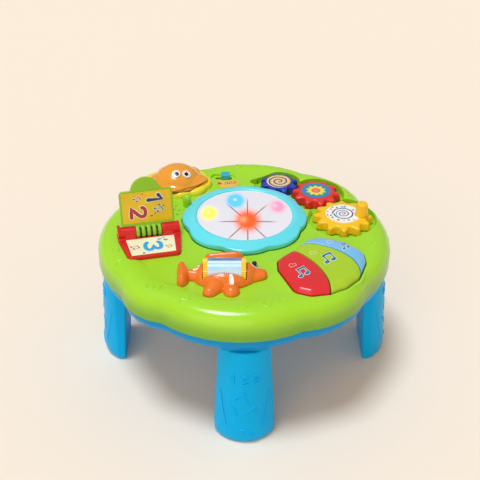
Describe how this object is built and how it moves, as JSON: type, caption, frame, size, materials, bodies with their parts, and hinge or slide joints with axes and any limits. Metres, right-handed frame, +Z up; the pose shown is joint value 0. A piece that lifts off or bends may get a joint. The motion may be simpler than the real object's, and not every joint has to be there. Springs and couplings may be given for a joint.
{
  "type": "musical activity table",
  "caption": "Low round baby activity table on four legs, with a light-up press drum, meshing gears, piano keys, a roller, a turning page, a press dome and a mode switch.",
  "frame": {"origin": "on the floor, under the centre of the table top", "axes": "+Z up, -Y towards the player's side with the keys and the roller, +X to that player's right"},
  "size_m": [0.304, 0.304, 0.2091],
  "materials": {
    "green_shell": "satin",
    "blue_pan": "satin",
    "blue_legs": "satin",
    "bright_steel": "bright",
    "spring_wire": "bright",
    "cell_sleeve": "satin",
    "cyan_ring": "satin",
    "white_lens": "satin, translucent",
    "white_inner": "matt",
    "board": "satin",
    "yellow_light": "clear tinted",
    "blue_light": "clear tinted",
    "pink_light": "clear tinted",
    "red_light": "clear tinted",
    "yellow_plastic": "satin",
    "red_plastic": "satin",
    "blue_plastic": "satin",
    "print_white": "printed film",
    "print_blue": "printed film",
    "print_orange": "printed film",
    "green_key": "satin",
    "blue_key": "satin",
    "rubber_pad": "matt",
    "orange_plastic": "satin",
    "eye_dark": "gloss",
    "eye_white": "gloss",
    "print_sky": "printed film",
    "print_cream": "printed film",
    "lime_plastic": "satin",
    "print_olive": "printed film",
    "yellow_base": "satin",
    "amber_dome": "clear tinted",
    "black_plastic": "matt",
    "teal_plastic": "satin"
  },
  "bodies": {
    "table": {"top_shell": "green_shell", "bottom_pan": "blue_pan", "battery_door": "blue_pan", "front_leg": "blue_legs", "right_leg": "blue_legs", "rear_leg": "blue_legs", "left_leg": "blue_legs", "door_screw": "bright_steel", "shell_screws": "bright_steel", "gear_screws": "bright_steel", "inner_screws": "bright_steel", "key_pin": "bright_steel", "roller_axle": "bright_steel", "book_pin": "bright_steel", "drum_springs": "spring_wire", "dome_spring": "spring_wire", "battery_contacts": "spring_wire", "gear_washers": "spring_wire", "batteries": "cell_sleeve", "light_tray": "white_inner", "led_board": "board", "key_board": "board", "main_board": "board", "yellow_led": "yellow_light", "blue_led": "blue_light", "pink_led": "pink_light", "red_led": "red_light", "book_base": "red_plastic", "switch_label": "print_orange", "red_key_pad": "rubber_pad", "green_key_pad": "rubber_pad", "blue_key_pad": "rubber_pad", "fish_body": "orange_plastic", "fish_eye": "eye_dark", "base_label": "print_cream", "dome_base": "yellow_base", "slide_switch": "black_plastic", "speaker": "black_plastic"},
    "drum": {"drum_ring": "cyan_ring", "drum_lens": "white_lens"},
    "yellow_wheel": {"yellow_gear": "yellow_plastic", "yellow_gear_label": "print_white", "crank_knob": "yellow_plastic"},
    "red_wheel": {"red_gear": "red_plastic", "red_gear_label": "print_blue"},
    "blue_wheel": {"blue_gear": "blue_plastic", "blue_gear_label": "print_orange"},
    "red_note": {"red_key": "red_plastic"},
    "green_note": {"green_key": "green_key"},
    "blue_note": {"blue_key": "blue_key"},
    "spinner": {"roller": "yellow_plastic", "roller_label": "print_sky"},
    "page": {"book_page": "lime_plastic", "page_label": "print_olive"},
    "dome": {"dome_button": "amber_dome", "dome_eyes": "eye_white", "dome_pupils": "eye_dark"},
    "mode_knob": {"switch_knob": "teal_plastic"}
  },
  "joints": [
    {"name": "drum_press", "type": "slide", "parent": "table", "child": "drum", "axis": [0, 0, -1], "range_m": [0, 0.002], "stiffness_N_per_m": 1500, "springref_m": -0.0015, "deforming": ["drum_springs"]},
    {"name": "yellow_spin", "type": "hinge", "parent": "table", "child": "yellow_wheel", "pos_m": [0.10247, 0.025, 0.146], "axis": [0, 0, 1], "continuous": true},
    {"name": "red_spin", "type": "hinge", "parent": "table", "child": "red_wheel", "pos_m": [0.0778, 0.0728, 0.146], "axis": [0, 0, 1], "continuous": true},
    {"name": "blue_spin", "type": "hinge", "parent": "table", "child": "blue_wheel", "pos_m": [0.03873, 0.09305, 0.146], "axis": [0, 0, 1], "continuous": true},
    {"name": "red_key_press", "type": "hinge", "parent": "table", "child": "red_note", "pos_m": [0.0536, -0.0312, 0.1345], "axis": [0.7793, 0.6266, 0], "range_deg": [0, 2.5], "stiffness_Nm_per_rad": 1.2, "springref_deg": -1.72, "deforming": ["red_key_pad"]},
    {"name": "green_key_press", "type": "hinge", "parent": "table", "child": "green_note", "pos_m": [0.0536, -0.0312, 0.1345], "axis": [0.7793, 0.6266, 0], "range_deg": [0, 2.5], "stiffness_Nm_per_rad": 1.2, "springref_deg": -1.72, "deforming": ["green_key_pad"]},
    {"name": "blue_key_press", "type": "hinge", "parent": "table", "child": "blue_note", "pos_m": [0.0536, -0.0312, 0.1345], "axis": [0.7793, 0.6266, 0], "range_deg": [0, 2.5], "stiffness_Nm_per_rad": 1.2, "springref_deg": -1.72, "deforming": ["blue_key_pad"]},
    {"name": "roller_spin", "type": "hinge", "parent": "table", "child": "spinner", "pos_m": [-0.0185, -0.082, 0.154], "axis": [1, 0, 0], "continuous": true},
    {"name": "page_turn", "type": "hinge", "parent": "table", "child": "page", "pos_m": [-0.0955, -0.0116, 0.154], "axis": [0.9744, 0.225, 0], "range_deg": [-74, 97]},
    {"name": "dome_press", "type": "slide", "parent": "table", "child": "dome", "axis": [0, 0, -1], "range_m": [0, 0.002], "stiffness_N_per_m": 500, "springref_m": -0.001, "deforming": ["dome_spring"]},
    {"name": "mode_slide", "type": "slide", "parent": "table", "child": "mode_knob", "axis": [1, 0, 0], "range_m": [-0.008, 0.004]}
  ],
  "couplings": [
    {"joint": "red_spin", "follows": "yellow_spin", "ratio": -1.2},
    {"joint": "blue_spin", "follows": "yellow_spin", "ratio": 1.5}
  ]
}
